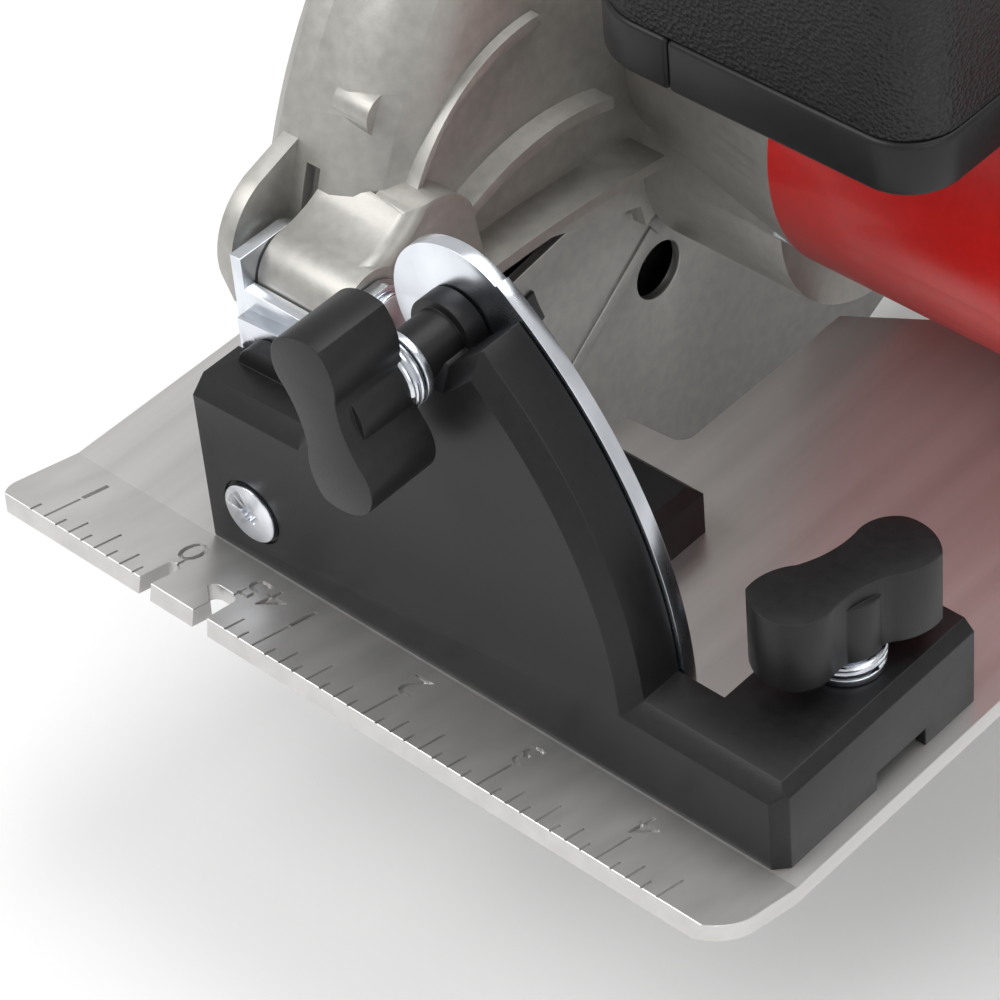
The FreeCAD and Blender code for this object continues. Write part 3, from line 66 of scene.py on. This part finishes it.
# ---- materials -----------------------------------------------------------------
def material(name, colour, metallic, roughness, grain, bump=0.1, stretch=(1, 1, 1), vary=0.12,
             cells=False, coat=0.0, depth=0.00005, shine=0.5):
    """Coarse noise in object coordinates varies colour and roughness; fine noise makes relief."""
    made = bpy.data.materials.new(name)
    made.use_nodes = True
    tree = made.node_tree
    shader = tree.nodes["Principled BSDF"]
    shader.inputs["Metallic"].default_value = metallic
    shader.inputs["Coat Weight"].default_value = coat
    shader.inputs["Specular IOR Level"].default_value = shine
    coords = tree.nodes.new("ShaderNodeTexCoord")
    mapping = tree.nodes.new("ShaderNodeMapping")
    mapping.inputs["Scale"].default_value = stretch
    tree.links.new(coords.outputs["Object"], mapping.inputs["Vector"])
    broad = tree.nodes.new("ShaderNodeTexNoise")
    broad.inputs["Scale"].default_value = grain * 0.25
    broad.inputs["Detail"].default_value = 6
    tree.links.new(mapping.outputs["Vector"], broad.inputs["Vector"])
    ramp = tree.nodes.new("ShaderNodeValToRGB")
    ramp.color_ramp.elements[0].position = 0.3
    ramp.color_ramp.elements[1].position = 0.7
    ramp.color_ramp.elements[0].color = [c * (1 - vary) for c in colour] + [1]
    ramp.color_ramp.elements[1].color = [min(1, c * (1 + vary)) for c in colour] + [1]
    tree.links.new(broad.outputs["Fac"], ramp.inputs["Fac"])
    tree.links.new(ramp.outputs["Color"], shader.inputs["Base Color"])
    span = tree.nodes.new("ShaderNodeMapRange")
    span.inputs["To Min"].default_value = roughness * 0.85
    span.inputs["To Max"].default_value = min(1, roughness * 1.15)
    tree.links.new(broad.outputs["Fac"], span.inputs["Value"])
    tree.links.new(span.outputs["Result"], shader.inputs["Roughness"])
    fine = tree.nodes.new("ShaderNodeTexVoronoi" if cells else "ShaderNodeTexNoise")
    fine.inputs["Scale"].default_value = grain
    tree.links.new(mapping.outputs["Vector"], fine.inputs["Vector"])
    relief = tree.nodes.new("ShaderNodeBump")
    relief.inputs["Strength"].default_value = bump
    relief.inputs["Distance"].default_value = depth
    tree.links.new(fine.outputs["Distance" if cells else "Fac"], relief.inputs["Height"])
    tree.links.new(relief.outputs["Normal"], shader.inputs["Normal"])
    return made


FINISH = {
    "steel": material("brushed_plate", (0.58, 0.57, 0.56), 0.70, 0.38, 900, 0.25,
                      stretch=(1.0, 0.03, 1.0), vary=0.07),
    "zinc": material("zinc_plate", (0.72, 0.75, 0.80), 1.0, 0.24, 500, 0.12, vary=0.10),
    "black": material("moulded_black", (0.010, 0.010, 0.011), 0.0, 0.40, 2600, 0.35, shine=0.3),
    "rubber": material("pebbled_rubber", (0.009, 0.009, 0.010), 0.0, 0.46, 1300, 0.9, cells=True,
                       depth=0.0003, shine=0.35),
    "casting": material("satin_casting", (0.42, 0.41, 0.385), 0.75, 0.44, 1800, 0.35, vary=0.08),
    "guard": material("satin_guard", (0.36, 0.355, 0.34), 0.8, 0.42, 1500, 0.25, vary=0.08),
    "red": material("moulded_red", (0.62, 0.012, 0.010), 0.0, 0.33, 2200, 0.12,
                    vary=0.06, coat=0.1),
    "dark": material("dark_metal", (0.05, 0.05, 0.055), 0.6, 0.40, 1200, 0.25),
    "blade": material("ground_blade", (0.55, 0.55, 0.55), 1.0, 0.28, 700, 0.2, (1, 0.15, 1)),
    "copper": material("wound_wire", (0.50, 0.22, 0.10), 0.9, 0.40, 900, 0.6, (8, 1, 1)),
    "board": material("lacquered_board", (0.03, 0.15, 0.07), 0.0, 0.30, 700, 0.2),
}


def clad(obj, slot):
    obj.data.materials.clear()
    obj.data.materials.append(FINISH[slot])


# ---- helpers -------------------------------------------------------------------
def select_only(obj):
    bpy.ops.object.select_all(action="DESELECT")
    obj.select_set(True)
    bpy.context.view_layer.objects.active = obj


def link(name, mesh):
    obj = bpy.data.objects.new(name, mesh)
    bpy.context.collection.objects.link(obj)
    return obj


def rounded_copy(node, width_mm, segments=3):
    """Finished copy of a CAD node with its sharp edges rounded."""
    mesh = frame["nodes"][node].data.copy()
    cleaned = bmesh.new()
    cleaned.from_mesh(mesh)
    bmesh.ops.remove_doubles(cleaned, verts=cleaned.verts, dist=1e-6)
    bmesh.ops.dissolve_limit(cleaned, angle_limit=math.radians(0.5), verts=cleaned.verts,
                             edges=cleaned.edges)
    cleaned.to_mesh(mesh)
    cleaned.free()
    obj = link(node + "_finish", mesh)
    select_only(obj)
    bevel = obj.modifiers.new("rounding", "BEVEL")
    bevel.width = width_mm * MM
    bevel.segments = segments
    bevel.limit_method = "ANGLE"
    bevel.angle_limit = math.radians(32)
    bevel.use_clamp_overlap = True
    bpy.ops.object.modifier_apply(modifier=bevel.name)
    return obj


def stand_for(obj, node, smooth=SMOOTH_DEGREES):
    """Dress a piece and let it take the place of its CAD node."""
    clad(obj, SLOT_OF[node])
    select_only(obj)
    bpy.ops.object.shade_smooth_by_angle(angle=math.radians(smooth))
    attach(obj, BODY_OF[node])
    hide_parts(node)


def add_piece(obj, body, slot):
    """Dress a piece that has no CAD node and let it ride on a body."""
    clad(obj, slot)
    select_only(obj)
    bpy.ops.object.shade_smooth_by_angle(angle=math.radians(SMOOTH_DEGREES))
    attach(obj, body)


# ---- scale on the nose -----------------------------------------------------------
NOSE = Vector(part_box("shoe")[0]).y    # front edge of the shoe
BEND = NOSE + 18.2 * MM           # where the nose starts to rise
DECK = 3.6 * MM                   # top of the flat plate
RISE = 4.6 * MM                   # height gained by the nose
TILT = math.atan2(RISE, BEND - NOSE)
INCH = 25.4 * MM
MARK_WIDTH = 0.5 * MM
MARK_DEPTH = 0.7 * MM
MARK_LENGTHS = {0: 8.7, 4: 6.5, 2: 4.7, 6: 4.7}   # by eighths of an inch, in millimetres
SHORT_MARK = 2.6
NOTCHED = (-2.5 * MM, 16.5 * MM)  # no eighths between the two sight notches
FIGURES = [("0", -1.0), ("45", 16.0), ("1", 25.4), ("2", 50.8), ("3", 76.2), ("4", 101.6),
           ("1", -25.4)]
FIGURE_ROW = 13.2 * MM            # middle of the figures, behind the front edge
FIGURE_SIZE = 9.0 * MM
FIGURE_RELIEF = 0.5 * MM


def nose_top(y):
    return DECK + RISE * (BEND - y) / (BEND - NOSE)


def groove(x, start, length):
    """Bar that cuts one graduation, laid along the slope of the nose."""
    bpy.ops.mesh.primitive_cube_add(size=1)
    bar = bpy.context.active_object
    middle = start + length / 2
    turn = Matrix.Rotation(-TILT, 4, "X")
    size = Matrix.Diagonal((MARK_WIDTH, length, MARK_DEPTH, 1))
    bar.data.transform(Matrix.Translation((x, middle, nose_top(middle))) @ turn @ size)
    return bar


def numeral(text, x, y):
    """Stamped figure, upright when read from behind the saw."""
    bpy.ops.object.text_add()
    obj = bpy.context.active_object
    obj.data.body = text
    obj.data.size = FIGURE_SIZE
    obj.data.align_x = "CENTER"
    obj.data.align_y = "CENTER"
    obj.data.extrude = FIGURE_RELIEF
    obj.data.resolution_u = 3
    select_only(obj)
    bpy.ops.object.convert(target="MESH")
    turn = Matrix.Rotation(-TILT, 4, "X") @ Matrix.Rotation(math.pi, 4, "Z")
    obj.data.transform(Matrix.Translation((x, y, nose_top(y))) @ turn)
    return obj


def graduations():
    """Cutters for the inch rule, the two sight lines behind the notches and the figures."""
    cutters = []
    for eighth in range(-9, 37):
        x = eighth * INCH / 8
        if NOTCHED[0] < x < NOTCHED[1]:
            continue
        length = MARK_LENGTHS.get(eighth % 8, SHORT_MARK) * MM
        cutters.append(groove(x, NOSE + 0.8 * MM, length))
    cutters.append(groove(0.0, NOSE + 7.8 * MM, 3.6 * MM))
    cutters.append(groove(12.8 * MM, NOSE + 8.8 * MM, 3.4 * MM))
    for text, x in FIGURES:
        cutters.append(numeral(text, x * MM, NOSE + FIGURE_ROW))
    return cutters


def make_shoe():
    shoe = rounded_copy("shoe", 0.3, 1)
    cutters = graduations()
    for cutter in cutters:
        cut = shoe.modifiers.new("mark", "BOOLEAN")
        cut.operation = "DIFFERENCE"
        cut.solver = "EXACT"
        cut.object = cutter
        select_only(shoe)
        bpy.ops.object.modifier_apply(modifier=cut.name)
    for cutter in cutters:
        bpy.data.objects.remove(cutter, do_unlink=True)
    stand_for(shoe, "shoe", 4)


# ---- small details ------------------------------------------------------------------
SPRING_RADIUS = 6.2 * MM
SPRING_WIRE = 0.55 * MM
SPRING_TURNS = 2.5
COIL_STEPS = 28                   # points in one turn
FOOT_HEIGHT = 18.0 * MM           # top of the bracket's foot above the plate


def coil(name, centre, axis, length):
    """Compression spring swept along a helix."""
    curve = bpy.data.curves.new(name, "CURVE")
    curve.dimensions = "3D"
    curve.bevel_depth = SPRING_WIRE
    curve.bevel_resolution = 3
    spline = curve.splines.new("POLY")
    steps = int(SPRING_TURNS * COIL_STEPS)
    spline.points.add(steps)
    for index in range(steps + 1):
        angle = 2 * math.pi * SPRING_TURNS * index / steps
        along = length * index / steps
        a, b = SPRING_RADIUS * math.cos(angle), SPRING_RADIUS * math.sin(angle)
        offset = Vector((a, along, b)) if axis == "Y" else Vector((a, b, along))
        spline.points[index].co = (*(centre + offset), 1)
    obj = link(name, curve)
    select_only(obj)
    bpy.ops.object.convert(target="MESH")
    return bpy.context.active_object


def star_recess(pin, centre, radius):
    """Six-lobed drive cut into the flat head of the bevel pin."""
    bpy.ops.mesh.primitive_circle_add(vertices=48, radius=radius, fill_type="NGON")
    tool = bpy.context.active_object
    for vertex in tool.data.vertices:
        angle = math.atan2(vertex.co.y, vertex.co.x)
        vertex.co *= 1 + 0.22 * math.cos(6 * angle)
    select_only(tool)
    bpy.ops.object.mode_set(mode="EDIT")
    bpy.ops.mesh.select_all(action="SELECT")
    bpy.ops.mesh.extrude_region_move(TRANSFORM_OT_translate={"value": (0, 0, 2 * MM)})
    bpy.ops.mesh.select_all(action="SELECT")
    bpy.ops.mesh.normals_make_consistent(inside=False)
    bpy.ops.object.mode_set(mode="OBJECT")
    tool.data.transform(Matrix.Translation(centre) @ Matrix.Rotation(math.pi / 2, 4, "X"))
    cut = pin.modifiers.new("drive", "BOOLEAN")
    cut.operation = "DIFFERENCE"
    cut.object = tool
    select_only(pin)
    bpy.ops.object.modifier_apply(modifier=cut.name)
    bpy.data.objects.remove(tool, do_unlink=True)


# width in millimetres of the rounding on each node's edges
ROUNDING = {
    "front_bracket": 0.7, "fence_guide": 0.6, "rear_bracket": 0.6, "bevel_quadrant": 0.35,
    "knuckle_bracket": 0.4, "depth_arm": 0.4, "bevel_knob": 1.9, "fence_knob": 1.9,
    "upper_guard": 0.9, "guard_cover": 0.8, "gearcase": 1.2, "lower_guard": 0.5,
    "motor_housing": 0.7, "motor_cap": 1.0, "front_grip_left": 1.0, "front_grip_right": 1.0,
    "front_grip_cover": 1.2, "handle_left": 3.0, "handle_right": 3.0, "battery_case": 1.0,
    "battery_mount": 1.0, "trigger": 1.5, "dust_port": 0.6, "depth_lever": 0.8,
    "latch_left": 0.6, "latch_right": 0.6, "spindle_lock": 0.8, "lock_off": 0.8,
    "guard_lever": 0.4, "depth_pin": 0.4, "clamp_washers": 0.2,
}

for node, obj in frame["nodes"].items():
    clad(obj, SLOT_OF[node])
make_shoe()
for node, width in ROUNDING.items():
    stand_for(rounded_copy(node, width), node)

pins = rounded_copy("bevel_pivot_pins", 0.4)
pin_low, pin_high = [Vector(corner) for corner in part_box("bevel_pivot_pins")]
star_recess(pins, Vector(((pin_low.x + pin_high.x) / 2, pin_low.y + 0.6 * MM,
                          (pin_low.z + pin_high.z) / 2)), 1.7 * MM)
stand_for(pins, "bevel_pivot_pins")

screw_low, screw_high = [Vector(corner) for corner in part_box("bevel_screw")]
clamp = (screw_low + screw_high) / 2
bracket_low = Vector(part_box("front_bracket")[0])
add_piece(coil("bevel_spring", Vector((clamp.x, bracket_low.y - 4.6 * MM, clamp.z)), "Y",
               2.6 * MM), "base", "zinc")
fence_low, fence_high = [Vector(corner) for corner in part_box("fence_screw")]
fence = (fence_low + fence_high) / 2
foot_top = DECK + FOOT_HEIGHT
add_piece(coil("fence_spring", Vector((fence.x, fence.y, foot_top + 1.9 * MM)), "Z",
               2.4 * MM), "base", "zinc")


# ---- floor, light and camera ------------------------------------------------------------
def make_floor():
    bpy.ops.mesh.primitive_plane_add(size=8)
    floor = bpy.context.active_object
    floor.name = "floor"
    floor.data.transform(Matrix.Translation((0, 0, CAD_BOX[0][2] - 0.001)))
    pale = material("pale_floor", (0.86, 0.86, 0.86), 0.0, 0.6, 30, 0.02, vary=0.01)
    floor.data.materials.append(pale)


def area_light(name, place, target, size, power):
    light = bpy.data.lights.new(name, "AREA")
    light.energy = power
    light.size = size
    obj = link(name, light)
    obj.location = place
    obj.rotation_euler = (Vector(target) - Vector(place)).to_track_quat("-Z", "Y").to_euler()


def make_camera():
    camera = bpy.data.cameras.new("camera")
    camera.lens = 152.37
    camera.sensor_width = 36
    camera.clip_start = 0.01
    obj = link("camera", camera)
    right = Vector((0.7379, 0.6711, -0.0715))
    up = Vector((-0.4204, 0.5400, 0.7292))
    back = Vector((0.5280, -0.5080, 0.6806))
    turn = Matrix((right, up, back)).transposed().to_4x4()
    obj.matrix_world = Matrix.Translation((0.41715, -0.36654, 0.50171)) @ turn
    bpy.context.scene.camera = obj


make_floor()
area_light("key", (-0.5, -0.7, 1.1), (0.05, 0.0, 0.03), 0.8, 9)
area_light("top", (0.2, 0.5, 1.3), (0.05, 0.05, 0.03), 1.0, 10)
area_light("fill", (1.1, -0.2, 0.6), (0.06, 0.0, 0.03), 0.8, 3)
world = bpy.data.worlds.new("studio")
bpy.context.scene.world = world
world.use_nodes = True
world.node_tree.nodes["Background"].inputs["Color"].default_value = (1, 1, 1, 1)
world.node_tree.nodes["Background"].inputs["Strength"].default_value = 0.62
bpy.context.scene.view_settings.view_transform = "Standard"
make_camera()
